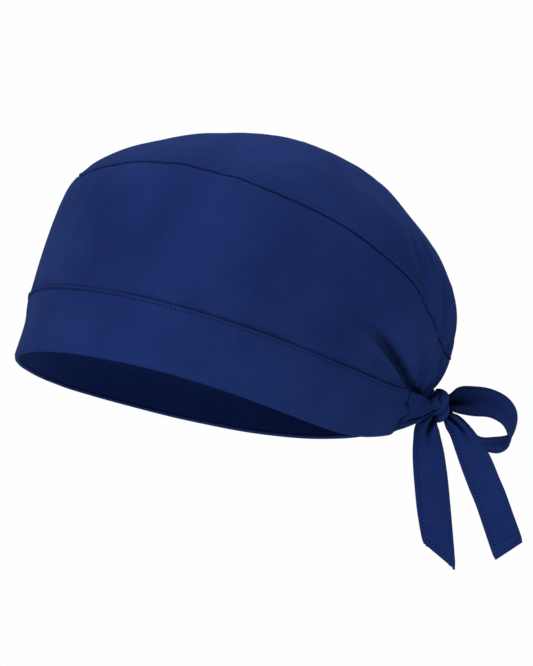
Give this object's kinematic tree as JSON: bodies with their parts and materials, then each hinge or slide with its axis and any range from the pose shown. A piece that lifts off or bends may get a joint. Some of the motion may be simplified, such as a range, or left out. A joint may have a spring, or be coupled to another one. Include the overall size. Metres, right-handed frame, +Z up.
{
  "type": "scrub cap",
  "caption": "Soft cloth scrub cap with a broad band, a deep gathered crown and a half bow tied behind.",
  "frame": {"origin": "centre of the head opening, where the head sits", "axes": "+Z up as worn on an upright head, -Y the way the wearer faces, +X the wearer's left"},
  "size_m": [0.1618, 0.2671, 0.2123],
  "materials": {
    "crown_panel": "matt navy cotton twill",
    "side_panel": "matt navy cotton twill",
    "band": "matt navy cotton twill",
    "tie_left": "matt navy cotton twill",
    "tie_right": "matt navy cotton twill",
    "knot": "matt navy cotton twill",
    "bow_loop": "matt navy cotton twill",
    "tail_left": "matt navy cotton twill",
    "tail_right": "matt navy cotton twill"
  },
  "bodies": {
    "root": {"crown_panel": "crown_panel", "side_panel": "side_panel", "band": "band", "tie_left": "tie_left", "tie_right": "tie_right", "knot": "knot", "bow_loop": "bow_loop", "tail_left": "tail_left", "tail_right": "tail_right"}
  },
  "joints": []
}
